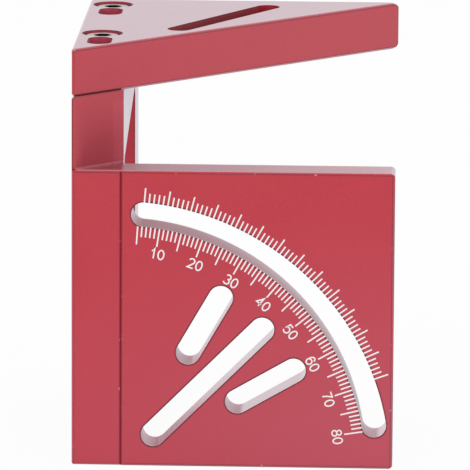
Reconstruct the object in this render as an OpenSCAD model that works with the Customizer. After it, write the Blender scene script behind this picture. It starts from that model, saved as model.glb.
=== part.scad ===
// Three-plate angle gauge: an upright protractor plate, a side plate square to it and a
// 45 degree top plate, screwed together into one rigid corner for marking out.
// Millimetres, +Z up, front towards -Y, origin under the middle of the part on its base.

/* [Side plate] */
// Thickness of the side plate, seen from the front as the left-hand post
side_t = 10; // [9:0.5:13]
// Depth of the side plate, front to back, and the legs of the top plate
side_d = 65.8; // [62:0.1:76]
// Height of the side plate, from the base to the seat of the top plate
side_h = 76.2; // [72:0.1:90]
// Corner radius of the side plate, seen from the side
side_corner_r = 0.8; // [0.5:0.1:3]

/* [Side window] */
// Material left in front of the window
window_front = 13; // [10:0.5:16]
// Material left behind the window, which takes the rear top screw
window_back = 13; // [11:0.5:16]
// Material left under the window
window_bottom = 13; // [8:0.5:24]
// Material left over the window at its back, where it is highest
window_top = 6.1; // [4:0.1:12]
// Slope of the window's upper edge, rising towards the back
window_slope = 12.5; // [0:0.5:16]
// Corner radius of the window
window_corner_r = 2.5; // [1:0.5:5]

/* [Front plate] */
// Width of the front plate, from the side plate to its free edge
front_w = 55.5; // [53:0.1:58]
// Height of the front plate, and of the ledge on the side plate
front_h = 61.3; // [58:0.1:66]
// Thickness of the front plate
front_t = 8.5; // [7.5:0.5:10]
// Corner radius at the front plate's free edge, seen from the front
front_corner_r = 1; // [0.5:0.1:3]

/* [Marking slots] */
// Width of every marking slot
slot_w = 5; // [4:0.5:6]
// Material left between the arc slot and the free edge, where the arc is level
arc_margin = 0.5; // [0.2:0.1:3]
// First angle of the arc slot from upright, at its end centre
arc_from = 5; // [4:1:20]
// Last angle of the arc slot from upright, at its end centre
arc_to = 80; // [60:1:80]
// Band kept for the scale, from the arc slot to the straight slots' end centres
scale_band = 9.3; // [7:0.1:14]
// Distance from the scale's centre to the near end of the two short slots
short_slot_from = 27.5; // [20:0.5:32]
// Distance from the scale's centre to the near end of the long slot
long_slot_from = 9.4; // [8:0.1:20]
// Angle of the long slot from upright
long_slot_angle = 45; // [43:1:47]
// Angle between the long slot and the short slot on each side of it
short_slot_step = 15; // [14:0.5:17]

/* [Top plate] */
// Thickness of the top plate
top_t = 9.8; // [8:0.1:14]
// Radius of the top plate's corners, seen from above
top_corner_r = 0.4; // [0.3:0.1:1]
// Rounding of the top plate's front tip, seen square to its long face
front_tip_r = 1.2; // [0.5:0.1:2]
// Rounding of the top plate's free tip, seen square to its long face
free_tip_r = 2.1; // [0.5:0.1:3]
// Distance of the top slot's first end centre from the side plate's outer face
top_slot_x = 20.5; // [18:0.5:23]
// Distance of the top slot's first end centre from the front
top_slot_y = 27.5; // [27:0.5:31]
// Angle of the top slot from the front plate
top_slot_angle = 60; // [58:1:64]
// Distance between the top slot's end centres
top_slot_run = 34.5; // [20:0.5:35]

/* [Top screws] */
// Thread diameter of the two top screws
top_screw_d = 4; // [3:0.5:5]
// Length of the top screws under the head
top_screw_l = 16; // [12:1:18]
// Head diameter of the top screws
top_head_d = 7; // [5.5:0.1:7.5]
// Head height of the top screws
top_head_h = 4; // [3:0.5:5]
// Width across flats of the top screws' sockets
top_hex = 3; // [2.5:0.5:4]
// Distance of the rear top screw from the back
top_screw_back = 7.4; // [6:0.1:9]
// Distance between the two top screws
top_screw_pitch = 37.4; // [34:0.1:40]
// Distance from each top screw forward to its locating slot's middle
locate_offset = 9.3; // [9:0.1:11]
// Width of the locating slots beside the top screws
locate_w = 5; // [3:0.5:6]
// End-to-end length of the locating slots beside the top screws
locate_l = 9; // [7:0.5:9.5]

/* [Side screws] */
// Thread diameter of the two side screws
side_screw_d = 3; // [2.5:0.5:3]
// Length of the side screws under the head
side_screw_l = 14; // [12:1:14]
// Head diameter of the side screws
side_head_d = 5.5; // [4.5:0.1:5.8]
// Head height of the side screws
side_head_h = 3; // [2:0.5:4]
// Width across flats of the side screws' sockets
side_hex = 2.5; // [2:0.5:3]
// Height of the lower side screw above the base
side_screw_z = 18; // [17:0.5:20]
// Distance between the two side screws
side_screw_pitch = 25; // [18:0.5:26]

/* [Fits and edges] */
// Bevel on the outer edges of the plates
edge_bevel = 0.42; // [0.1:0.02:0.5]
// Bevel on the edges along the seam between the side plate and the front plate
seam_bevel = 0.2; // [0.1:0.05:0.4]
// Fillet along the foot of the sloping face that rises from the ledge
ledge_fillet = 0.5; // [0.2:0.1:1]
// Bevel round the rim of each screw head
head_bevel = 0.3; // [0.1:0.05:0.5]
// Depth of each screw head below the face it is sunk in
head_sunk = 0.4; // [0.1:0.1:1]
// Gap round a screw head in its counterbore
head_gap = 0.7; // [0.2:0.05:0.9]
// Gap round a screw where it passes through a clearance hole
shank_gap = 0.25; // [0.1:0.05:0.5]
// Gap round a screw's thread in its tapped hole
thread_gap = 0.05; // [0.02:0.01:0.1]
// Room left under the tip of a screw in its tapped hole
tip_gap = 1; // [0.5:0.5:2]

/* [Hidden] */
$fn = 64;

anodised_red = "#C0434D";
bright_steel = "#B9BCBE";
overall_w = side_t + front_w;
total_h = side_h + top_t;
reach = 2 * (overall_w + side_d + total_h);
through = 1;
// A round corner's centre stands this share of its radius from both sides
corner_set = 0.98;

// The part's left front lower corner, from which all places are measured
corner = [-overall_w / 2, -side_d / 2, 0];

// The top plate's outline, seen from above
top_outline = [[0, 0], [side_d, side_d], [0, side_d]];

// Bevels of the two long edges of a plate's side, by what lies beside it
outer_edges = [edge_bevel, edge_bevel];
seam_edges = [seam_bevel, seam_bevel];
outer_and_seam = [edge_bevel, seam_bevel];

// The arc slot keeps its margin from the free edge, and the straight slots the scale's band
arc_r_out = front_w - arc_margin;
arc_r_in = arc_r_out - slot_w;
arc_r_mid = arc_r_out - slot_w / 2;
arc_half = (arc_to - arc_from) / 2;
arc_overlap = 2;
straight_slot_to = arc_r_in - scale_band;
straight_slots = [
    [long_slot_angle - short_slot_step, short_slot_from],
    [long_slot_angle, long_slot_from],
    [long_slot_angle + short_slot_step, short_slot_from]
];

// Top screws stand on the side plate's centre line, side screws on the front plate's
top_screw_rear_y = side_d - top_screw_back;
top_screw_front_y = top_screw_rear_y - top_screw_pitch;
top_counterbore = head_sunk + top_head_h;
side_counterbore = head_sunk + side_head_h;
top_screw_places = [for (y = [top_screw_front_y, top_screw_rear_y]) [side_t / 2, y, total_h]];
side_screw_places = [for (i = [0, 1]) [0, front_t / 2, side_screw_z + i * side_screw_pitch]];

function unit(v) = v / norm(v);
function alike(n, value) = [for (i = [1 : n]) value];

// The tip of an outline's corner p, past a circle that just crosses both its sides a and b
module corner_tip(p, a, b, r) {
    half = acos(a * b) / 2;
    centre = p + unit(a + b) * corner_set * r / sin(half);
    foot = corner_set * r / tan(half);
    difference() {
        polygon([for (q = [centre, p + a * foot, p, p + b * foot]) centre + 2 * (q - centre)]);
        translate(centre)
            circle(r);
    }
}

// A convex outline with true round corners, or a sharp one where the radius is 0
module rounded_outline(points, radii) {
    n = len(points);
    difference() {
        polygon(points);
        for (i = [0 : n - 1])
            if (radii[i] > 0)
                corner_tip(
                    points[i],
                    unit(points[(i + n - 1) % n] - points[i]),
                    unit(points[(i + 1) % n] - points[i]),
                    radii[i]
                );
    }
}

// Everything on the inner side of one straight side, with its two long edges bevelled
module bevelled_side(from, to, t, bevels) {
    side = to - from;
    profile = [
        [0, bevels[0]], [bevels[0], 0], [reach, 0],
        [reach, t], [bevels[1], t], [0, t - bevels[1]]
    ];
    translate(from)
        rotate(atan2(side.y, side.x))
            translate([-reach, 0, 0])
                rotate([90, 0, 90])
                    linear_extrude(2 * reach)
                        polygon(profile);
}

// A flat plate of thickness t, with a radius for each corner and two bevels for each side
module bevelled_plate(points, radii, t, bevels) {
    intersection() {
        linear_extrude(t)
            rounded_outline(points, radii);
        intersection_for (i = [0 : len(points) - 1])
            bevelled_side(points[i], points[(i + 1) % len(points)], t, bevels[i]);
    }
}

function rectangle(w, h) = [[0, 0], [w, 0], [w, h], [0, h]];

// Stands a flat drawing up to face the front, with its back at depth t
module facing_front(t) {
    translate([0, t, 0])
        rotate([90, 0, 0])
            children();
}

// Stands a flat drawing up to face the sides, growing from the outer face inwards
module facing_side() {
    rotate([90, 0, 90])
        children();
}

// A slot outline of width w between two end centres, the second a run along X
module slot_outline(run, w) {
    circle(d = w);
    translate([run, 0])
        circle(d = w);
    translate([0, -w / 2])
        square([run, w]);
}

// A cutter for a slot right through a plate of thickness t
module slot_cut(run, w, t) {
    translate([0, 0, -through])
        linear_extrude(t + 2 * through)
            slot_outline(run, w);
}

// One round end of the arc slot on the X axis, and a little over half of the arc on from it
module half_arc_cut(t) {
    translate([0, 0, -through]) {
        rotate_extrude(angle = arc_half + arc_overlap)
            translate([arc_r_in, 0])
                square([slot_w, t + 2 * through]);
        translate([arc_r_mid, 0, 0])
            cylinder(d = slot_w, h = t + 2 * through);
    }
}

// A cutter for the arc slot, centred on the plate's lower corner by the side plate: one half
// and its mirror image, even about the 45 degree line, are turned together to their place
module arc_slot_cut(t) {
    rotate(45 - (arc_from + arc_to) / 2)
        for (flip = [0, 1])
            mirror([flip, -flip, 0])
                rotate(45 - arc_half)
                    half_arc_cut(t);
}

// Socket cap screw along -Z, with the top of its head at the origin
module cap_screw(d, l, head_d, head_h, hex) {
    profile = [
        [0, 0], [head_d / 2 - head_bevel, 0], [head_d / 2, -head_bevel],
        [head_d / 2, -head_h], [d / 2, -head_h], [d / 2, head_bevel - head_h - l],
        [d / 2 - head_bevel, -head_h - l], [0, -head_h - l]
    ];
    difference() {
        rotate_extrude()
            polygon(profile);
        translate([0, 0, -head_h / 2])
            cylinder(d = hex / cos(30), h = head_h, $fn = 6);
    }
}

// Counterbore and clearance hole through a plate of thickness t, from its face at the origin
module screw_hole_cut(d, head_d, counterbore, t) {
    translate([0, 0, -counterbore])
        cylinder(d = head_d + 2 * head_gap, h = counterbore + through);
    translate([0, 0, -t - through])
        cylinder(d = d + 2 * shank_gap, h = t + 2 * through);
}

// Tapped hole for a screw whose head top is at the origin
module tapped_hole_cut(d, l, head_h) {
    translate([0, 0, -head_h - l - tip_gap])
        cylinder(d = d + 2 * thread_gap, h = l + tip_gap);
}

// Turns something that points down into something that points from the side face inwards
module from_side_face() {
    rotate([0, -90, 0])
        children();
}

// The side plate's front, cut back on the top plate's 45 degree plane above the ledge, with a
// fillet left along the foot of the sloping face
module ledge_cut() {
    translate([0, 0, front_h])
        difference() {
            linear_extrude(side_h)
                polygon([
                    [-through, -through],
                    [side_t + through, -through],
                    [side_t + through, side_t + through]
                ]);
            rotate(45)
                facing_side()
                    translate([0, 0, -reach / 2])
                        linear_extrude(reach)
                            corner_tip([0, 0], [-1, 0], [0, 1], ledge_fillet);
        }
    translate([side_t / 2, 0, front_h])
        rotate([45, 0, 0])
            cube([2 * side_t, edge_bevel * sqrt(2), edge_bevel * sqrt(2)], center = true);
}

// Window in the side plate, with an upper edge that rises towards the back
module window_outline() {
    back = side_d - window_back;
    top_back = side_h - window_top;
    top_front = top_back - (back - window_front) * tan(window_slope);
    rounded_outline([
        [window_front, window_bottom],
        [back, window_bottom],
        [back, top_back],
        [window_front, top_front]
    ], alike(4, window_corner_r));
}

// The upper and lower corners of the top plate's two tips, to be taken off
module tip_corners() {
    blunt = sqrt(2) * top_corner_r;
    tips = [
        [blunt, [1, 0], front_tip_r],
        [side_d * sqrt(2) - blunt, [-1, 0], free_tip_r]
    ];
    faces = [[0, [0, 1]], [top_t, [0, -1]]];
    rotate(45)
        facing_front(reach / 2)
            linear_extrude(reach)
                for (tip = tips)
                    for (face = faces)
                        corner_tip([tip[0], face[0]], tip[1], face[1], tip[2]);
}

module side_plate() {
    color(anodised_red)
        difference() {
            facing_side()
                bevelled_plate(
                    rectangle(side_d, side_h),
                    [side_corner_r, side_corner_r, side_corner_r, 0],
                    side_t,
                    [outer_and_seam, outer_edges, outer_edges, outer_and_seam]
                );
            facing_side()
                translate([0, 0, -through])
                    linear_extrude(side_t + 2 * through)
                        window_outline();
            ledge_cut();
            for (place = top_screw_places)
                translate(place - [0, 0, head_sunk])
                    tapped_hole_cut(top_screw_d, top_screw_l, top_head_h);
            for (place = side_screw_places)
                translate(place)
                    from_side_face()
                        screw_hole_cut(side_screw_d, side_head_d, side_counterbore, side_t);
        }
}

module front_plate() {
    color(anodised_red)
        difference() {
            translate([side_t, 0, 0])
                facing_front(front_t)
                    difference() {
                        bevelled_plate(
                            rectangle(front_w, front_h),
                            [0, front_corner_r, front_corner_r, 0],
                            front_t,
                            [outer_edges, outer_edges, outer_edges, seam_edges]
                        );
                        arc_slot_cut(front_t);
                        for (slot = straight_slots)
                            rotate(90 - slot[0])
                                translate([slot[1], 0, 0])
                                    slot_cut(straight_slot_to - slot[1], slot_w, front_t);
                    }
            for (place = side_screw_places)
                translate(place + [head_sunk, 0, 0])
                    from_side_face()
                        tapped_hole_cut(side_screw_d, side_screw_l, side_head_h);
        }
}

module top_plate() {
    color(anodised_red)
        difference() {
            translate([0, 0, side_h])
                difference() {
                    bevelled_plate(
                        top_outline,
                        alike(3, top_corner_r),
                        top_t,
                        alike(3, outer_edges)
                    );
                    tip_corners();
                    translate([top_slot_x, top_slot_y, 0])
                        rotate(top_slot_angle)
                            slot_cut(top_slot_run, slot_w, top_t);
                    for (place = top_screw_places)
                        translate([place.x, place.y - locate_offset - (locate_l - locate_w) / 2, 0])
                            rotate(90)
                                slot_cut(locate_l - locate_w, locate_w, top_t);
                }
            for (place = top_screw_places)
                translate(place)
                    screw_hole_cut(top_screw_d, top_head_d, top_counterbore, top_t);
        }
}

module top_screw(i) {
    color(bright_steel)
        translate(top_screw_places[i] - [0, 0, head_sunk])
            cap_screw(top_screw_d, top_screw_l, top_head_d, top_head_h, top_hex);
}

module side_screw(i) {
    color(bright_steel)
        translate(side_screw_places[i] + [head_sunk, 0, 0])
            from_side_face()
                cap_screw(side_screw_d, side_screw_l, side_head_d, side_head_h, side_hex);
}

translate(corner) side_plate();
translate(corner) front_plate();
translate(corner) top_plate();
translate(corner) top_screw(0);  // top_screw_front
translate(corner) top_screw(1);  // top_screw_rear
translate(corner) side_screw(0);  // side_screw_lower
translate(corner) side_screw(1);  // side_screw_upper
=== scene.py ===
# %% [markdown]
# # A red angle gauge, dressed for its portrait
# The gauge is a rigid corner of three machined plates: an upright protractor plate, a side
# plate square to it and a triangular top plate, held by four socket screws. The solids arrive
# ready made and at their true size, so this script only adds what a solid can't hold: the
# finish of the metal, the printed degree scale, the light and the camera. Everything is in
# metres, in the same frame as the solids, with +Z up and the protractor face towards -Y.

# %% Load the solids
import math

import bpy
from mathutils import Matrix, Vector


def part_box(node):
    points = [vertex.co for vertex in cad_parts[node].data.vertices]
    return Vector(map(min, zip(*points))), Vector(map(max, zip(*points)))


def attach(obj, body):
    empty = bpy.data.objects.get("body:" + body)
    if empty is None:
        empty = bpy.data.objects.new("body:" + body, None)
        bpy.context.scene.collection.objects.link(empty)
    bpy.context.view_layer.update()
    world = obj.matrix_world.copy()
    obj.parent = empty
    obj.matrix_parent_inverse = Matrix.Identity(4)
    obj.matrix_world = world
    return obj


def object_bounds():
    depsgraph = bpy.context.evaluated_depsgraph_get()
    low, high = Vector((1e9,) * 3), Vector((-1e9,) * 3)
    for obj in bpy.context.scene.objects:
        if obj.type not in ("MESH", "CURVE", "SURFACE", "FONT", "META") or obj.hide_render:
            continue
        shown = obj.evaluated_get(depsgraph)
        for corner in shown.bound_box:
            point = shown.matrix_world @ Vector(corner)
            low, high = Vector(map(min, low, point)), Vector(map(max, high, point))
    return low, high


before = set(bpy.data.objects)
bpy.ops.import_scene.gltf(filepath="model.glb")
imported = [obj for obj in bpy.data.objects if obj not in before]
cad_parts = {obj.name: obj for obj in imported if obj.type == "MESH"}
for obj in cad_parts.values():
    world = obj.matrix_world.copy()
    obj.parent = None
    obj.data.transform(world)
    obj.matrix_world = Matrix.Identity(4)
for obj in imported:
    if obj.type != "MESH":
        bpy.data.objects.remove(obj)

MM = 0.001
cad_low, cad_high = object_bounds()
print("solids:", sorted(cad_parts))
print("size in mm:", [round(side / MM, 2) for side in cad_high - cad_low])

# %% [markdown]
# ## Where the scale goes
# Every mark below is measured from the protractor plate, whose lower corner beside the side
# plate is the centre of the degree scale. Asking the frame for the plate's own box, and not
# typing the numbers again, keeps the printed scale on the plate if its size ever changes.

# %% Measure the protractor plate
ARC_MARGIN = 0.5 * MM
SLOT_WIDTH = 5.0 * MM
front_low, front_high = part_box("front_plate")
scale_centre = front_low.copy()
arc_outer = front_high.x - front_low.x - ARC_MARGIN
arc_inner = arc_outer - SLOT_WIDTH
print("scale centre in mm:", [round(x / MM, 2) for x in scale_centre])
print("arc slot in mm: from", round(arc_inner / MM, 2), "to", round(arc_outer / MM, 2))

# %% [markdown]
# ## The camera
# The portrait was taken from far away with a long lens, a little to the right and above, so
# the plates' edges stay almost parallel. The place and the three turns below come from fitting
# those edges. A long lens needs a camera that stands back: 1.2 m for an object of 86 mm. The
# camera's own axes are right, up and backwards, so they are worked out one after another.

# %% Set the camera
CAMERA_PLACE = Vector((43.12, -1182.90, 278.50)) * MM
CAMERA_YAW = 0.0371
CAMERA_PITCH = 0.1974
CAMERA_ROLL = 0.0055
SENSOR_WIDTH = 36.0
FOCAL_PIXELS = 5793.92
IMAGE_PIXELS = 470

ahead = Vector((
    -math.sin(CAMERA_YAW) * math.cos(CAMERA_PITCH),
    math.cos(CAMERA_YAW) * math.cos(CAMERA_PITCH),
    -math.sin(CAMERA_PITCH),
))
level_right = Vector((math.cos(CAMERA_YAW), math.sin(CAMERA_YAW), 0))
level_up = level_right.cross(ahead)
right = level_right * math.cos(CAMERA_ROLL) + level_up * math.sin(CAMERA_ROLL)
up = level_up * math.cos(CAMERA_ROLL) - level_right * math.sin(CAMERA_ROLL)

lens = bpy.data.cameras.new("portrait_camera")
lens.sensor_width = SENSOR_WIDTH
lens.lens = FOCAL_PIXELS / IMAGE_PIXELS * SENSOR_WIDTH
lens.clip_start = 0.1
lens.clip_end = 20
camera = bpy.data.objects.new("portrait_camera", lens)
camera.matrix_world = Matrix((right, up, -ahead)).transposed().to_4x4()
camera.location = CAMERA_PLACE
bpy.context.scene.collection.objects.link(camera)
bpy.context.scene.camera = camera
bpy.context.scene.view_settings.view_transform = "Standard"
print("lens in mm:", round(lens.lens, 1))

# %% [markdown]
# ## Helpers for the finishes
# Colours are easiest to read as sRGB hex values, as in a paint shop, but a shader wants linear
# light, so one function turns them. A second one adds a shader node, sets its fields and either
# writes or links each of its inputs, so that a finish reads from top to bottom. An input is
# given by its name, of which the one that is switched on is taken, or else by its number. Two
# more find a node's live output and start an empty material.

# %% Colour and node helpers
def linear(hex_colour):
    """A colour written as RRGGBB, as linear red, green, blue and full alpha."""
    parts = [int(hex_colour[i:i + 2], 16) / 255 for i in (0, 2, 4)]
    light = [p / 12.92 if p <= 0.04045 else ((p + 0.055) / 1.055) ** 2.4 for p in parts]
    return (*light, 1.0)


def add_node(tree, kind, inputs=None, **fields):
    """A new node with its fields set and its inputs written or linked."""
    made = tree.nodes.new(kind)
    for name, value in fields.items():
        setattr(made, name, value)
    for key, value in (inputs or {}).items():
        named = [s for s in made.inputs if s.name == key and s.enabled]
        socket = named[0] if named else made.inputs[key]
        if isinstance(value, bpy.types.NodeSocket):
            tree.links.new(value, socket)
        else:
            socket.default_value = value
    return made


def live(made, name):
    """The output of that name that is switched on."""
    return next(s for s in made.outputs if s.name == name and s.enabled)


def new_finish(name):
    """An empty node material and its tree."""
    finish = bpy.data.materials.new(name)
    finish.use_nodes = True
    finish.node_tree.nodes.clear()
    return finish, finish.node_tree


print("helpers ready; a middle grey is", [round(x, 3) for x in linear("808080")])

# %% [markdown]
# ## Red anodised aluminium: the dye
# The plates are milled aluminium, blasted with fine beads and then anodised: acid grows a
# hard, clear oxide skin, which takes up a red dye. Two noises make the dye a little uneven, one
# in broad patches and one in fine grains.

# %% Mix the dye
DYE_DEEP = "C03C48"
DYE_PALE = "CE4A56"
DYE_PATCH = 18 * MM
# The dye follows the metal's own grain of about 0.1 mm. It is drawn at 0.6 mm to show at all.
DYE_GRAIN = 0.6 * MM
GRAIN_SHARE = 0.6

anodised, tree = new_finish("red_anodised_aluminium")
place = add_node(tree, "ShaderNodeTexCoord").outputs["Object"]
patches = add_node(tree, "ShaderNodeTexNoise", {
    "Vector": place, "Scale": 1 / DYE_PATCH, "Detail": 3.0})
grains = add_node(tree, "ShaderNodeTexNoise", {
    "Vector": place, "Scale": 1 / DYE_GRAIN, "Detail": 3.0})
uneven = add_node(tree, "ShaderNodeMix", {
    "Factor": GRAIN_SHARE, "A": patches.outputs["Fac"], "B": grains.outputs["Fac"]})
dye = add_node(tree, "ShaderNodeMix", {
    "Factor": live(uneven, "Result"), "A": linear(DYE_DEEP), "B": linear(DYE_PALE),
}, data_type="RGBA")
print("dye:", DYE_DEEP, "to", DYE_PALE, "in patches of", round(DYE_PATCH / MM), "mm")

# %% [markdown]
# ## Painted sheen at the lower corner
# The colour is a little paler and cooler towards the lower corner of the protractor plate's free
# side: a painted reflection of the white floor. It follows the distance from that corner. A
# distance along X counts for about half, so it reaches further along the base than up the plate.

# %% Paint the sheen at the corner
# A painted reflection of the white floor, paler and cooler than the dye, towards the lower corner
PAINTED_FLOOR_SHEEN = "C75867"
SHEEN_REACH = 62 * MM
SHEEN_WEIGHTS = (0.55, 1, 1)
SHEEN_CORNER = Vector((front_high.x, front_low.y, front_low.z))

past_corner = add_node(tree, "ShaderNodeVectorMath", {
    0: place, 1: SHEEN_CORNER}, operation="SUBTRACT")
weighed = add_node(tree, "ShaderNodeVectorMath", {
    0: past_corner.outputs["Vector"], 1: SHEEN_WEIGHTS}, operation="MULTIPLY")
corner_distance = add_node(tree, "ShaderNodeVectorMath", {
    0: weighed.outputs["Vector"]}, operation="LENGTH")
sheen_share = add_node(tree, "ShaderNodeMapRange", {
    "Value": corner_distance.outputs["Value"], "From Min": SHEEN_REACH, "From Max": 0.0,
}, interpolation_type="SMOOTHSTEP")
sheened = add_node(tree, "ShaderNodeMix", {
    "Factor": sheen_share.outputs["Result"], "A": live(dye, "Result"), "B": linear(PAINTED_FLOOR_SHEEN),
}, data_type="RGBA")
print("fade: from", [round(x / MM, 2) for x in SHEEN_CORNER], "over", round(SHEEN_REACH / MM), "mm")

# %% [markdown]
# ## Painted light in the locating slots
# The walls of the two short slots beside the top screws are painted a brighter red, as a painted
# reflection of the light that falls into them. The frame doesn't know the slots, but each lies
# a fixed way in front of its screw, so the screw's box gives the slot's place. A slot with round
# ends is all that lies within half its width of a line, and a helper finds what is that near to
# a line or a box.

# %% Paint light on the slots' walls
# Painted light: a brighter red on the locating slots' walls, standing in for reflected light
PAINTED_LIGHT_IN_SLOTS = "E47086"
# From a screw to the middle of its slot
LOCATE_OFFSET = Vector((0, -9.3, 0)) * MM
LOCATE_LENGTH = 9 * MM
# What is this much past a wall still counts as on it
WALL_SKIN = 0.02 * MM


def near_box(tree, place, middle, half, reach):
    """1 within reach of a box, given by its middle and half its sides, and 0 farther away."""
    offset = add_node(tree, "ShaderNodeVectorMath", {0: place, 1: middle}, operation="SUBTRACT")
    spread = add_node(tree, "ShaderNodeVectorMath", {
        0: offset.outputs["Vector"]}, operation="ABSOLUTE")
    past = add_node(tree, "ShaderNodeVectorMath", {
        0: spread.outputs["Vector"], 1: half}, operation="SUBTRACT")
    outside = add_node(tree, "ShaderNodeVectorMath", {
        0: past.outputs["Vector"], 1: (0, 0, 0)}, operation="MAXIMUM")
    away = add_node(tree, "ShaderNodeVectorMath", {
        0: outside.outputs["Vector"]}, operation="LENGTH")
    near = add_node(tree, "ShaderNodeMath", {
        0: away.outputs["Value"], 1: reach}, operation="LESS_THAN")
    return near.outputs["Value"]


plate_low, plate_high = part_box("top_plate")
slot_half = Vector((0, (LOCATE_LENGTH - SLOT_WIDTH) / 2, (plate_high.z - plate_low.z) / 2))
slotted = live(sheened, "Result")
for screw in ("top_screw_front", "top_screw_rear"):
    screw_low, screw_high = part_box(screw)
    slot_middle = (screw_low + screw_high) / 2 + LOCATE_OFFSET
    slot_middle.z = (plate_low.z + plate_high.z) / 2
    in_slot = near_box(tree, place, slot_middle, slot_half, SLOT_WIDTH / 2 + WALL_SKIN)
    bright = add_node(tree, "ShaderNodeMix", {
        "Factor": in_slot, "A": slotted, "B": linear(PAINTED_LIGHT_IN_SLOTS)}, data_type="RGBA")
    slotted = live(bright, "Result")
    print("slot by", screw, "at", [round(x / MM, 2) for x in slot_middle])

# %% [markdown]
# ## Painted light on the side plate's window
# The walls of the side plate's window are painted a little brighter than the faces, as painted
# light that lifts the shade on the window's back wall. Its walls are the only surfaces well inside
# the side plate's box that don't face along X, so a smaller box and the X of the normal find them.

# %% Paint light on the window's walls
# Painted light: a brighter red on the window's walls, lifting their shade
PAINTED_LIGHT_IN_WINDOW = "D65A68"
# How far the smaller box stays from the plate's front, where the ledge is, and from its other sides
LEDGE_INSET = 8 * MM
WINDOW_INSET = 2 * MM

true_normal = add_node(tree, "ShaderNodeNewGeometry")
facing = add_node(tree, "ShaderNodeVectorMath", {
    0: true_normal.outputs["True Normal"]}, operation="ABSOLUTE")
facing_part = add_node(tree, "ShaderNodeSeparateXYZ", {"Vector": facing.outputs["Vector"]})
post_low, post_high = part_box("side_plate")
inner_low = post_low + Vector((0, LEDGE_INSET, WINDOW_INSET))
inner_high = post_high - Vector((0, WINDOW_INSET, WINDOW_INSET))
inside = near_box(tree, place, (inner_low + inner_high) / 2, (inner_high - inner_low) / 2, WALL_SKIN)
window_wall = add_node(tree, "ShaderNodeMath", {
    0: inside, 1: facing_part.outputs["X"]}, operation="SUBTRACT", use_clamp=True)
brightened = add_node(tree, "ShaderNodeMix", {
    "Factor": window_wall.outputs["Value"], "A": slotted, "B": linear(PAINTED_LIGHT_IN_WINDOW),
}, data_type="RGBA")
print("window walls: dyed", PAINTED_LIGHT_IN_WINDOW)

# %% [markdown]
# ## Pale at a shallow angle
# Under the dye is still metal, so the colour sits mostly in the reflection: faces seen square on
# are deep red, and faces seen at a shallow angle turn almost white, because there light glances
# off the clear skin and never reaches the dye. A red metal under a clear coat gives some of
# that, and a Layer Weight node adds the rest: it pales the metal where the surface turns away.

# %% Pale the turned faces
GLANCING_TINT = "E6E6F1"
GLANCING_POWER = 2.4

turned = add_node(tree, "ShaderNodeLayerWeight", {"Blend": 0.5})
glancing = add_node(tree, "ShaderNodeMath", {
    0: turned.outputs["Facing"], 1: GLANCING_POWER}, operation="POWER")
paled = add_node(tree, "ShaderNodeMix", {
    "Factor": glancing.outputs["Value"], "A": live(brightened, "Result"),
    "B": linear(GLANCING_TINT),
}, data_type="RGBA")
print("glancing tint:", GLANCING_TINT)

# %% [markdown]
# ## The edges of the plates
# The edges get painted shade and painted highlights, and handling wears a plate first along its
# edges. Marking each edge by hand would not follow a change of size, so a Bevel node finds them:
# it gives the normal that a rounded edge would have, and where that leans away from the true
# normal, an edge is near.

# %% Find the edges
EDGE_WIDTH = 0.35 * MM
EDGE_SHARE = 0.75
BEVEL_SAMPLES = 8
# The dot product of the two normals where an edge begins to show, and where it shows in full
EDGE_BEGINS = 0.9995
EDGE_FULL = 0.98


def near_edge(tree, normal, width, share):
    """How plainly an edge within that width shows, at most share, and the rounded normal."""
    rounded = add_node(tree, "ShaderNodeBevel", {"Radius": width}, samples=BEVEL_SAMPLES)
    agreement = add_node(tree, "ShaderNodeVectorMath", {
        0: rounded.outputs["Normal"], 1: normal}, operation="DOT_PRODUCT")
    shown = add_node(tree, "ShaderNodeMapRange", {
        "Value": agreement.outputs["Value"], "From Min": EDGE_BEGINS, "From Max": EDGE_FULL,
        "To Max": share})
    return shown.outputs["Result"], rounded.outputs["Normal"]


edge, soft_normal = near_edge(tree, true_normal.outputs["Normal"], EDGE_WIDTH, EDGE_SHARE)
print("edges: found", round(EDGE_WIDTH / MM, 2), "mm wide")

# %% [markdown]
# ## Painted shade, painted highlight and bare specks
# Along the edges the colour is darkened, as painted shade. Where an edge turns upwards it is a
# pale rim instead, a painted highlight of the light from above, and here and there a speck has
# lost its skin down to the bare metal. The Z of the rounded normal says which way an edge turns,
# and a noise with a sharp limit sets the specks.

# %% Paint shade and highlights on the edges, and wear them
# Painted shade along the edges, and a painted highlight where an edge turns upwards
PAINTED_EDGE_SHADE = "72323C"
PAINTED_EDGE_HIGHLIGHT = "EBC4C9"
BARE_ALUMINIUM = "E2DCDE"
WORN_SPECK = 0.9 * MM
# The rounded normal's Z where an edge begins to turn pale, and where it is at its palest
PALE_BEGINS = 0.55
PALE_FULL = 0.85
# The noise where a speck begins, and where it is quite bare
SPECK_BEGINS = 0.7
SPECK_FULL = 0.75

lean = add_node(tree, "ShaderNodeSeparateXYZ", {"Vector": soft_normal})
lit_from_above = add_node(tree, "ShaderNodeMapRange", {
    "Value": lean.outputs["Z"], "From Min": PALE_BEGINS, "From Max": PALE_FULL})
edge_light_and_shade = add_node(tree, "ShaderNodeMix", {
    "Factor": lit_from_above.outputs["Result"], "A": linear(PAINTED_EDGE_SHADE), "B": linear(PAINTED_EDGE_HIGHLIGHT),
}, data_type="RGBA")
edged = add_node(tree, "ShaderNodeMix", {
    "Factor": edge, "A": live(paled, "Result"), "B": live(edge_light_and_shade, "Result"),
}, data_type="RGBA")
speck_noise = add_node(tree, "ShaderNodeTexNoise", {
    "Vector": place, "Scale": 1 / WORN_SPECK, "Detail": 2.0})
speck = add_node(tree, "ShaderNodeMapRange", {
    "Value": speck_noise.outputs["Fac"], "From Min": SPECK_BEGINS, "From Max": SPECK_FULL})
wear = add_node(tree, "ShaderNodeMath", {
    0: edge, 1: speck.outputs["Result"]}, operation="MULTIPLY")
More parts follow.
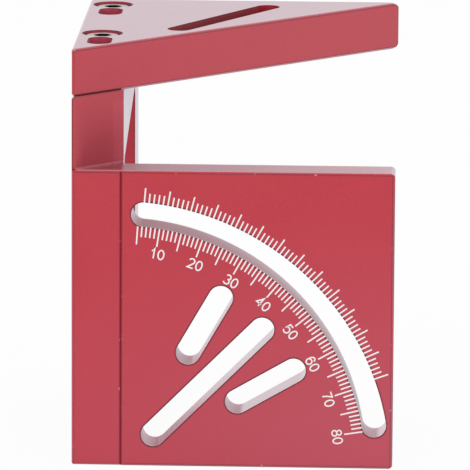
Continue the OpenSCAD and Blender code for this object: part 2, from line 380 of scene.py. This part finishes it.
worn = add_node(tree, "ShaderNodeMix", {
    "Factor": wear.outputs["Value"], "A": live(edged, "Result"), "B": linear(BARE_ALUMINIUM),
}, data_type="RGBA")
print("edges: worn, with specks of", round(WORN_SPECK / MM, 2), "mm")

# %% [markdown]
# ## The rims of the protractor's slots
# Round each slot of the protractor plate the edge is broken by a fine cutter. The break is too
# small to model, so its light and shade are painted: a painted shade line on the face and a
# painted highlight along the wall. A box a little smaller than the plate picks out these rims, so
# the outer edges keep their own painted shade, highlights and wear.

# %% Paint light and shade on the slots' rims
# Painted shade on a rim's face side, and a painted highlight on its wall side
RIM_PAINTED_SHADE = "702E3A"
RIM_PAINTED_HIGHLIGHT = "F6EAEC"
RIM_WIDTH = 0.6 * MM
RIM_SHARE = 0.9
OUTLINE_MARGIN = 1 * MM
# A surface whose normal has more than this along Y is a flat side of the plate, and else a wall
FLAT_LEAST = 0.5

rim, _ = near_edge(tree, true_normal.outputs["Normal"], RIM_WIDTH, RIM_SHARE)
front_middle = (front_low + front_high) / 2
front_half = (front_high - front_low) / 2 - 2 * Vector((OUTLINE_MARGIN, 0, OUTLINE_MARGIN))
within = near_box(tree, place, front_middle, front_half, OUTLINE_MARGIN)
slot_rim = add_node(tree, "ShaderNodeMath", {
    0: rim, 1: within}, operation="MULTIPLY")
flat_side = add_node(tree, "ShaderNodeMath", {
    0: facing_part.outputs["Y"], 1: FLAT_LEAST}, operation="GREATER_THAN")
rim_light_and_shade = add_node(tree, "ShaderNodeMix", {
    "Factor": flat_side.outputs["Value"], "A": linear(RIM_PAINTED_HIGHLIGHT), "B": linear(RIM_PAINTED_SHADE),
}, data_type="RGBA")
rimmed = add_node(tree, "ShaderNodeMix", {
    "Factor": slot_rim.outputs["Value"], "A": live(worn, "Result"), "B": live(rim_light_and_shade, "Result"),
}, data_type="RGBA")
print("slot rims: lined", round(RIM_WIDTH / MM, 2), "mm wide at most")

# %% [markdown]
# ## Painted shade at the ledge
# The side plate has a ledge, level with the top of the protractor plate, and the post above it
# is cut back. That corner is darkened as painted shade, and made smoother than the blasted metal.
# The shade fades with the distance from the corner's line. It ends at the side plate's inner face,
# and it stays off the front of the post.

# %% Paint the shade at the ledge
# Painted shade: a dark colour laid into the corner at the ledge
PAINTED_LEDGE_SHADE = "5A1B22"
LEDGE_SHADE_SHARE = 0.28
LEDGE_SHADE_REACH = 22 * MM
LEDGE_DEPTH = 6 * MM
FRONT_CLEAR_DEPTH = 2.4 * MM
# The end of the corner's line, just short of the inner face
LEDGE_CORNER = Vector((front_low.x - WALL_SKIN, front_low.y + LEDGE_DEPTH, front_high.z))
# Only Y and Z count for the distance from the line
ACROSS_LINE = (0, 1, 1)

from_corner = add_node(tree, "ShaderNodeVectorMath", {
    0: place, 1: LEDGE_CORNER}, operation="SUBTRACT")
across_ledge = add_node(tree, "ShaderNodeVectorMath", {
    0: from_corner.outputs["Vector"], 1: ACROSS_LINE}, operation="MULTIPLY")
line_distance = add_node(tree, "ShaderNodeVectorMath", {
    0: across_ledge.outputs["Vector"]}, operation="LENGTH")
near_corner_line = add_node(tree, "ShaderNodeMapRange", {
    "Value": line_distance.outputs["Value"], "From Min": LEDGE_SHADE_REACH, "From Max": 0.0,
}, interpolation_type="SMOOTHSTEP")
corner_part = add_node(tree, "ShaderNodeSeparateXYZ", {"Vector": from_corner.outputs["Vector"]})
on_side_plate = add_node(tree, "ShaderNodeMath", {
    0: corner_part.outputs["X"], 1: 0.0}, operation="LESS_THAN")
behind = add_node(tree, "ShaderNodeMapRange", {
    "Value": corner_part.outputs["Y"], "From Min": -LEDGE_DEPTH,
    "From Max": FRONT_CLEAR_DEPTH - LEDGE_DEPTH,
}, interpolation_type="SMOOTHSTEP")
behind_front = add_node(tree, "ShaderNodeMath", {
    0: on_side_plate.outputs["Value"], 1: behind.outputs["Result"]}, operation="MULTIPLY")
in_corner = add_node(tree, "ShaderNodeMath", {
    0: near_corner_line.outputs["Result"], 1: behind_front.outputs["Value"]}, operation="MULTIPLY")
ledge_shade = add_node(tree, "ShaderNodeMath", {
    0: in_corner.outputs["Value"], 1: LEDGE_SHADE_SHARE}, operation="MULTIPLY")
skin = add_node(tree, "ShaderNodeMix", {
    "Factor": ledge_shade.outputs["Value"], "A": live(rimmed, "Result"), "B": linear(PAINTED_LEDGE_SHADE),
}, data_type="RGBA")
print("oil film: corner at", [round(x / MM, 2) for x in LEDGE_CORNER])

# %% [markdown]
# ## The walls of the protractor's slots
# A slot is milled in one pass. On one side the turning cutter climbs along the wall and leaves it
# smooth. On the other side it pushes against the wall, which comes out rougher, and so do the
# round ends, where the cutter dwells. The smooth walls are those that face towards -X, so the X of
# the normal tells them apart.

# %% Mill the slots' walls
CLIMB_ROUGHNESS = 0.25
DWELL_ROUGHNESS = 0.55
# The normal's X where a wall is at its smoothest, and where it is at its roughest
CLIMB_TURN = -0.5
DWELL_TURN = -0.1

wall = add_node(tree, "ShaderNodeMath", {
    0: within, 1: flat_side.outputs["Value"]}, operation="GREATER_THAN")
wall_turn = add_node(tree, "ShaderNodeSeparateXYZ", {"Vector": true_normal.outputs["Normal"]})
milled = add_node(tree, "ShaderNodeMapRange", {
    "Value": wall_turn.outputs["X"], "From Min": CLIMB_TURN, "From Max": DWELL_TURN,
    "To Min": CLIMB_ROUGHNESS, "To Max": DWELL_ROUGHNESS,
}, interpolation_type="SMOOTHSTEP")
print("slot walls: roughness from", CLIMB_ROUGHNESS, "to", DWELL_ROUGHNESS)

# %% [markdown]
# ## The blasted surface
# Bead blasting leaves the metal evenly dull, with tiny dents that break up its reflections. The
# dents are a bump, because they are far too small to model, and a second noise makes the gloss
# vary from place to place. The corner at the ledge, under its painted shade, is smoother. The
# clear oxide skin is the shader's coat.

# %% Put the finish together
ROUGH_LEAST = 0.4
ROUGH_MOST = 0.5
CORNER_ROUGHNESS = 0.22
COAT_WEIGHT = 0.3
COAT_ROUGHNESS = 0.2
GLOSS_PATCH = 4 * MM
# Real blasting leaves marks of about 0.1 mm. They are drawn at 0.35 mm to show at all.
BLAST_GRAIN = 0.35 * MM
BLAST_DEPTH = 0.006 * MM

gloss_noise = add_node(tree, "ShaderNodeTexNoise", {
    "Vector": place, "Scale": 1 / GLOSS_PATCH, "Detail": 4.0})
blasted = add_node(tree, "ShaderNodeMapRange", {
    "Value": gloss_noise.outputs["Fac"], "To Min": ROUGH_LEAST, "To Max": ROUGH_MOST})
walled = add_node(tree, "ShaderNodeMix", {
    "Factor": wall.outputs["Value"], "A": blasted.outputs["Result"], "B": milled.outputs["Result"]})
rough = add_node(tree, "ShaderNodeMix", {
    "Factor": in_corner.outputs["Value"], "A": live(walled, "Result"), "B": CORNER_ROUGHNESS})
grain_noise = add_node(tree, "ShaderNodeTexNoise", {
    "Vector": place, "Scale": 1 / BLAST_GRAIN, "Detail": 2.0})
grain = add_node(tree, "ShaderNodeBump", {
    "Height": grain_noise.outputs["Fac"], "Strength": 1.0, "Distance": BLAST_DEPTH})
metal = add_node(tree, "ShaderNodeBsdfPrincipled", {
    "Base Color": live(skin, "Result"), "Metallic": 1.0, "Roughness": live(rough, "Result"),
    "Normal": grain.outputs["Normal"], "Coat Weight": COAT_WEIGHT,
    "Coat Roughness": COAT_ROUGHNESS})
add_node(tree, "ShaderNodeOutputMaterial", {"Surface": metal.outputs["BSDF"]})
print("finish:", anodised.name, "with", len(tree.nodes), "nodes")

# %% [markdown]
# ## Plated screw steel
# The four socket screws are cold-formed steel with a thin bright plating. The top of each head
# is faced on a lathe, which leaves fine rings about its middle. The rings are drawn from the
# distance to the screw's own axis, in the head's own box, so one recipe serves all four. The
# same distance finds the hexagon socket, which is drawn dark.

# %% Make the screw finish
STEEL_LIGHT = "E2E4E6"
STEEL_DARK = "B4B7BA"
SOCKET_DARK = "3C3A3B"
# Lathe rings are about 0.08 mm apart. They are drawn at 0.3 mm to show at all.
RING_PITCH = 0.3 * MM
RING_DEPTH = 0.004 * MM
RING_STRENGTH = 0.5
# Nine patches of plating to a head, so each is 0.6 to 0.8 mm across
PATCHES_ACROSS = 9.0
STEEL_SMOOTH = 0.22
STEEL_DULL = 0.38
# The black ends this many times as far from the axis as the socket's corners
SOCKET_DARK_REACH = 1.12
# Generated coordinates run from 0 to 1 across the screw's box
BOX_MIDDLE = 0.5


def plated_steel(name, axis, head_across, socket_across):
    """Bright plated steel with rings and a dark socket about an axis of the screw's own box."""
    finish, tree = new_finish(name)
    box_place = add_node(tree, "ShaderNodeTexCoord").outputs["Generated"]
    off_axis = [float(i != axis) for i in range(3)]
    from_axis = add_node(tree, "ShaderNodeMapping", {
        "Vector": box_place, "Location": [-BOX_MIDDLE * part for part in off_axis],
        "Scale": off_axis})
    away = add_node(tree, "ShaderNodeVectorMath", {
        0: from_axis.outputs["Vector"]}, operation="LENGTH")
    turns = add_node(tree, "ShaderNodeMath", {
        0: away.outputs["Value"], 1: 2 * math.pi * head_across / RING_PITCH,
    }, operation="MULTIPLY")
    rings = add_node(tree, "ShaderNodeMath", {0: turns.outputs["Value"]}, operation="SINE")
    patch = add_node(tree, "ShaderNodeTexNoise", {
        "Vector": box_place, "Scale": PATCHES_ACROSS, "Detail": 4.0})
    tone = add_node(tree, "ShaderNodeMix", {
        "Factor": patch.outputs["Fac"], "A": linear(STEEL_DARK), "B": linear(STEEL_LIGHT),
    }, data_type="RGBA")
    socket_edge = socket_across / head_across / 2
    in_socket = add_node(tree, "ShaderNodeMapRange", {
        "Value": away.outputs["Value"], "From Min": socket_edge * SOCKET_DARK_REACH,
        "From Max": socket_edge})
    socket_darkened = add_node(tree, "ShaderNodeMix", {
        "Factor": in_socket.outputs["Result"], "A": live(tone, "Result"), "B": linear(SOCKET_DARK),
    }, data_type="RGBA")
    rough = add_node(tree, "ShaderNodeMapRange", {
        "Value": patch.outputs["Fac"], "To Min": STEEL_SMOOTH, "To Max": STEEL_DULL})
    groove = add_node(tree, "ShaderNodeBump", {
        "Height": rings.outputs["Value"], "Strength": RING_STRENGTH, "Distance": RING_DEPTH})
    metal = add_node(tree, "ShaderNodeBsdfPrincipled", {
        "Base Color": live(socket_darkened, "Result"), "Metallic": 1.0,
        "Roughness": rough.outputs["Result"], "Normal": groove.outputs["Normal"]})
    add_node(tree, "ShaderNodeOutputMaterial", {"Surface": metal.outputs["BSDF"]})
    return finish


print("steel:", STEEL_DARK, "to", STEEL_LIGHT, "with rings", round(RING_PITCH / MM, 2), "mm apart")

# %% [markdown]
# ## Two kinds of screw
# The top screws stand upright and take a 3 mm key, and the side screws lie along X and take a
# 2.5 mm key. Each kind gets its own material, because its axis and its socket differ. A hexagon is
# wider across its corners than across its flats, and the dark colour has to reach the corners.

# %% Plate the screws
HEXAGON_CORNER = math.cos(math.radians(30))
TOP_SOCKET = 3.0 * MM / HEXAGON_CORNER
SIDE_SOCKET = 2.5 * MM / HEXAGON_CORNER
top_low, top_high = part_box("top_screw_front")
side_low, side_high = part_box("side_screw_lower")
upright_steel = plated_steel("plated_steel_upright", 2, top_high.x - top_low.x, TOP_SOCKET)
level_steel = plated_steel("plated_steel_level", 0, side_high.y - side_low.y, SIDE_SOCKET)
print("screw heads in mm:", round((top_high.x - top_low.x) / MM, 2),
      round((side_high.y - side_low.y) / MM, 2))

# %% [markdown]
# ## Dress the solids
# A solid keeps its shape and only gets its finish: each one's material slots are emptied and
# filled again.

# %% Give each solid its finish
FINISHES = {
    "side_plate": anodised,
    "front_plate": anodised,
    "top_plate": anodised,
    "top_screw_front": upright_steel,
    "top_screw_rear": upright_steel,
    "side_screw_lower": level_steel,
    "side_screw_upper": level_steel,
}
for name, finish in FINISHES.items():
    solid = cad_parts[name]
    solid.data.materials.clear()
    solid.data.materials.append(finish)
    print(name, "is", finish.name)

# %% [markdown]
# ## White scale ink
# The degree marks are printed in a thick white ink, a few hundredths of a millimetre high, with
# a dull skin. The ink is an epoxy, so it is no metal; a little noise keeps its white from
# looking like paper.

# %% Make the ink
INK_WHITE = "FBFAF9"
INK_SHADE = "ECE9E8"
INK_MOTTLE = 0.5 * MM
INK_ROUGHNESS = 0.55
EPOXY_IOR = 1.5

ink, tree = new_finish("white_epoxy_ink")
place = add_node(tree, "ShaderNodeTexCoord").outputs["Object"]
mottle = add_node(tree, "ShaderNodeTexNoise", {
    "Vector": place, "Scale": 1 / INK_MOTTLE, "Detail": 3.0})
tone = add_node(tree, "ShaderNodeMix", {
    "Factor": mottle.outputs["Fac"], "A": linear(INK_SHADE), "B": linear(INK_WHITE),
}, data_type="RGBA")
epoxy = add_node(tree, "ShaderNodeBsdfPrincipled", {
    "Base Color": live(tone, "Result"), "Roughness": INK_ROUGHNESS, "IOR": EPOXY_IOR})
add_node(tree, "ShaderNodeOutputMaterial", {"Surface": epoxy.outputs["BSDF"]})
print("finish:", ink.name)

# %% [markdown]
# ## Places on the scale
# Angles are counted from upright, clockwise, as the numbers on the plate are. The inner row of
# marks is spread a little about its middle, as on the real print. One helper gives the axes of a
# mark at an angle, so that a mark can be drawn upright and then put in its place, and another
# turns a finished mesh into a piece that rides on the part.

# %% Find places on the face
INNER_MIDDLE = 42.5
INNER_SPREAD = 1.028


def inner_angle(label):
    """The angle from upright, in degrees, at which an inner label is printed."""
    return INNER_MIDDLE + (label - INNER_MIDDLE) * INNER_SPREAD


def on_face(degrees):
    """Axes of a mark at that angle from upright: along the face, outwards, and out of it."""
    turn = math.radians(degrees)
    across = Vector((math.cos(turn), 0, -math.sin(turn)))
    outwards = Vector((math.sin(turn), 0, math.cos(turn)))
    return across, outwards, Vector((0, -1, 0))


def add_piece(name, mesh):
    """A new object of ink, riding on the part."""
    mesh.materials.append(ink)
    piece = bpy.data.objects.new(name, mesh)
    bpy.context.scene.collection.objects.link(piece)
    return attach(piece, "root")


print("inner 80 is printed at", round(inner_angle(80), 2), "degrees")

# %% [markdown]
# ## The degree marks
# Two rows of strokes run along the arc slot, one outwards from its outer rim and one inwards
# from its inner rim, one stroke to a degree, with every fifth one longer. A stroke is a thin bar
# of ink, and building all the bars of a row as one mesh keeps the number of objects small.

# %% Draw the strokes
INK_HEIGHT = 0.03 * MM
STROKE_WIDTH = 0.295 * MM
OUTER_SHORT = 1.9 * MM
OUTER_LONG = 3.0 * MM
INNER_SHORT = 2.15 * MM
INNER_LONG = 3.75 * MM
LONG_EVERY = 5
OUTER_LABELS = range(5, 71)
INNER_LABELS = range(5, 81)
# The sides of a bar, by the numbers of its eight corners
BAR_FACES = [(0, 2, 3, 1), (4, 5, 7, 6), (0, 1, 5, 4), (2, 6, 7, 3), (0, 4, 6, 2), (1, 3, 7, 5)]


def stroke_row(name, strokes):
    """One mesh of bars, each given by its angle and the radii where it starts and ends."""
    points, faces = [], []
    for degrees, start, end in strokes:
        across, outwards, off = on_face(degrees)
        first = len(points)
        points += [
            scale_centre + across * side + outwards * radius + off * height
            for side in (-STROKE_WIDTH / 2, STROKE_WIDTH / 2)
            for radius in (min(start, end), max(start, end))
            for height in (0, INK_HEIGHT)
        ]
        faces += [[first + i for i in face] for face in BAR_FACES]
    mesh = bpy.data.meshes.new(name)
    mesh.from_pydata(points, [], faces)
    mesh.update()
    print(name, "has", len(strokes), "strokes")
    return add_piece(name, mesh)


outer_strokes = [
    (label, arc_outer, arc_outer + (OUTER_SHORT if label % LONG_EVERY else OUTER_LONG))
    for label in OUTER_LABELS
]
inner_strokes = [
    (inner_angle(label), arc_inner, arc_inner - (INNER_SHORT if label % LONG_EVERY else INNER_LONG))
    for label in INNER_LABELS
]
stroke_row("outer_degree_strokes", outer_strokes)
stroke_row("inner_degree_strokes", inner_strokes)

# %% [markdown]
# ## The numerals
# Every tenth inner stroke has its number. The figures are plain lines of one width, so each is
# written as the path of a pen: straight runs and parts of ellipses, in a box that is 1 wide and
# 1 high. A ribbon of ink then follows each path. This needs no font, and the pen keeps one
# width whatever the height of the figures.

# %% Write the figures as pen paths
def bow(x, y, across, high, start, end, steps=24):
    """Points along part of an ellipse about (x, y), between two angles in degrees."""
    turns = [math.radians(start + (end - start) * i / steps) for i in range(steps + 1)]
    return [(x + across * math.cos(t), y + high * math.sin(t)) for t in turns]


FIGURES = {
    "0": [bow(0.5, 0.5, 0.5, 0.5, 90, 450)],
    "1": [[(0.2, 0.78), (0.5, 0.86), (0.64, 1), (0.64, 0)]],
    "2": [bow(0.5, 0.72, 0.48, 0.28, 165, -35) + [(0, 0), (1, 0)]],
    "3": [bow(0.5, 0.76, 0.44, 0.24, 155, -90), bow(0.5, 0.26, 0.5, 0.27, 90, -155)],
    "4": [[(0.74, 0), (0.74, 1), (0, 0.3), (1, 0.3)]],
    "5": [[(0.92, 1), (0.2, 1)] + bow(0.48, 0.32, 0.52, 0.34, 138, -150)],
    "6": [bow(0.5, 0.5, 0.5, 0.5, 32, 180), bow(0.5, 0.31, 0.5, 0.31, 180, 540)],
    "7": [[(0, 1), (1, 1), (0.6, 0.5), (0.4, 0)]],
    "8": [bow(0.5, 0.76, 0.42, 0.24, 90, 450), bow(0.5, 0.26, 0.5, 0.26, 90, 450)],
}
print("figures:", " ".join(FIGURES))

# %% [markdown]
# ## From path to ink
# At each point of a path the ribbon is cut along the line that halves the bend, so both its
# sides stay the same distance from the pen's middle. Four points stand there, two on the face
# and two at the top of the ink, and each pair of neighbours is joined by four faces.

# %% Lay a ribbon of ink
PEN_WIDTH = 0.285 * MM
CUT_POINTS = 4
# The sides of a ribbon, each by two of the points at a cut
RIBBON_SIDES = [(0, 1), (1, 3), (3, 2), (2, 0)]


def ribbon(path, height, points, faces):
    """Adds a closed ribbon of ink of that height along a path to a mesh's lists."""
    first = len(points)
    path = [Vector(p) for p in path]
    for i, spot in enumerate(path):
        before = (spot - path[i - 1]).normalized() if i else None
        after = (path[i + 1] - spot).normalized() if i + 1 < len(path) else before
        along = ((before or after) + after).normalized()
        across = Vector((-along.y, along.x)) * PEN_WIDTH / 2 / along.dot(after)
        for edge_spot in (spot - across, spot + across):
            points += [(*edge_spot, 0), (*edge_spot, height)]
    for i in range(len(path) - 1):
        near = first + CUT_POINTS * i
        far = near + CUT_POINTS
        faces += [(near + a, near + b, far + b, far + a) for a, b in RIBBON_SIDES]
    faces += [(first, first + 2, first + 3, first + 1)]
    last = first + CUT_POINTS * (len(path) - 1)
    faces += [(last, last + 1, last + 3, last + 2)]


print("pen:", round(PEN_WIDTH / MM, 3), "mm wide")

# %% [markdown]
# ## Numbers along the scale
# A number is written upright about its middle and then turned to its place, so that it reads
# along the arc. It stands a little past its stroke, as on the real print. Where two lines of a
# figure cross, the later one is a little higher, so that no two faces of ink lie in one plane.

# %% Print the numerals
NUMERAL_LABELS = range(10, 81, 10)
FIGURE_HEIGHT = 2.2 * MM
FIGURE_WIDTH = 1.45 * MM
FIGURE_STEP = 1.62 * MM
NUMERAL_INSET = 5.25 * MM
# How far past its stroke a number stands, in degrees
NUMERAL_LAG = 0.4
# How much higher each later line of a figure is, as a share of the ink's height
LAYER_SHARE = 0.2


def number(name, digits):
    """A mesh of a number's figures in ink, centred, upright and facing +Z."""
    points, faces = [], []
    wide, high = FIGURE_WIDTH - PEN_WIDTH, FIGURE_HEIGHT - PEN_WIDTH
    for i, digit in enumerate(digits):
        left = (i - (len(digits) - 1) / 2) * FIGURE_STEP - wide / 2
        for layer, path in enumerate(FIGURES[digit]):
            height = INK_HEIGHT * (1 + layer * LAYER_SHARE)
            ribbon([(left + x * wide, (y - 0.5) * high) for x, y in path], height, points, faces)
    mesh = bpy.data.meshes.new(name)
    mesh.from_pydata(points, [], faces)
    mesh.update()
    return mesh


for label in NUMERAL_LABELS:
    name = f"numeral_{label}"
    across, outwards, off = on_face(inner_angle(label) + NUMERAL_LAG)
    spot = scale_centre + outwards * (arc_inner - NUMERAL_INSET)
    mesh = number(name, str(label))
    on_arc = Matrix((across, outwards, off)).transposed().to_4x4()
    mesh.transform(Matrix.Translation(spot) @ on_arc)
    add_piece(name, mesh)
    print(name, "at", [round(x / MM, 1) for x in spot])

# %% [markdown]
# ## The floor
# The portrait is on plain white. A white floor alone would turn grey in the shade, so to the
# camera, and less so in reflections, it glows a little, while it still takes the gauge's shadow.

# %% Lay the floor
PURE_WHITE = "FFFFFF"
FLOOR_SIDE = 6.0
FLOOR_WHITE = "F4F4F5"
FLOOR_GLOW_SHARE = 0.94
# A mirrored ray sees the floor's shadow more plainly than the camera does
FLOOR_IN_MIRRORS = 0.4


def seen_directly(tree, in_mirrors):
    """1 to the camera and through glass, and a given share to a mirrored ray."""
    rays = add_node(tree, "ShaderNodeLightPath").outputs
    direct = add_node(tree, "ShaderNodeMath", {
        0: rays["Is Camera Ray"], 1: rays["Is Transmission Ray"]}, operation="MAXIMUM")
    mirrored = add_node(tree, "ShaderNodeMath", {
        0: rays["Is Glossy Ray"], 1: in_mirrors, 2: direct.outputs["Value"],
    }, operation="MULTIPLY_ADD")
    return mirrored.outputs["Value"]


floor_finish, tree = new_finish("white_studio_floor")
share = add_node(tree, "ShaderNodeMath", {
    0: seen_directly(tree, FLOOR_IN_MIRRORS), 1: FLOOR_GLOW_SHARE}, operation="MULTIPLY")
matt = add_node(tree, "ShaderNodeBsdfDiffuse", {"Color": linear(FLOOR_WHITE)})
glow = add_node(tree, "ShaderNodeEmission", {"Color": linear(PURE_WHITE), "Strength": 1.0})
mixed = add_node(tree, "ShaderNodeMixShader", {
    0: share.outputs["Value"], 1: matt.outputs["BSDF"], 2: glow.outputs["Emission"]})
add_node(tree, "ShaderNodeOutputMaterial", {"Surface": mixed.outputs["Shader"]})

half = FLOOR_SIDE / 2
floor_mesh = bpy.data.meshes.new("floor")
floor_mesh.from_pydata(
    [(-half, -half, 0), (half, -half, 0), (half, half, 0), (-half, half, 0)], [], [(0, 1, 2, 3)])
floor_mesh.materials.append(floor_finish)
floor = bpy.data.objects.new("floor", floor_mesh)
bpy.context.scene.collection.objects.link(floor)
print("floor laid,", FLOOR_SIDE, "m a side")

# %% [markdown]
# ## The room
# The sky is pure white to the camera too, and a little less bright as a source of light. Since a
# metal shows nothing but its surroundings, an even white room is what gives it an even colour.

# %% Whiten the room
SKY_LIGHT = 0.82
# A mirrored ray sees a sky between the light that falls on the gauge and pure white
SKY_IN_MIRRORS = 0.2

world = bpy.data.worlds.new("white_room")
world.use_nodes = True
bpy.context.scene.world = world
tree = world.node_tree
tree.nodes.clear()
sky = add_node(tree, "ShaderNodeBackground", {"Color": linear(PURE_WHITE), "Strength": SKY_LIGHT})
white = add_node(tree, "ShaderNodeBackground", {"Color": linear(PURE_WHITE), "Strength": 1.0})
mixed = add_node(tree, "ShaderNodeMixShader", {
    0: seen_directly(tree, SKY_IN_MIRRORS), 1: sky.outputs["Background"],
    2: white.outputs["Background"]})
add_node(tree, "ShaderNodeOutputWorld", {"Surface": mixed.outputs["Shader"]})
print("sky: lights at", SKY_LIGHT)

# %% [markdown]
# ## The lamps
# Two large soft lamps add a slight turn of light, a stronger one from the left and above and a
# weaker one from the right. They are weak, because most of the light comes from the white room.

# %% Hang the lamps
# Each lamp: its name, its place and side in metres, and its power in watts
LAMPS = [
    ("key_lamp", Vector((-0.7, -1.0, 1.0)), 0.8, 4.0),
    ("fill_lamp", Vector((0.9, -0.8, 0.5)), 0.8, 1.5),
]
middle = (cad_low + cad_high) / 2
for name, spot, side, watts in LAMPS:
    lamp = bpy.data.lights.new(name, "AREA")
    lamp.size = side
    lamp.energy = watts
    holder = bpy.data.objects.new(name, lamp)
    holder.location = spot
    holder.rotation_euler = (spot - middle).to_track_quat("Z", "Y").to_euler()
    bpy.context.scene.collection.objects.link(holder)
    print(name, "at", spot[:], "with", watts, "W")
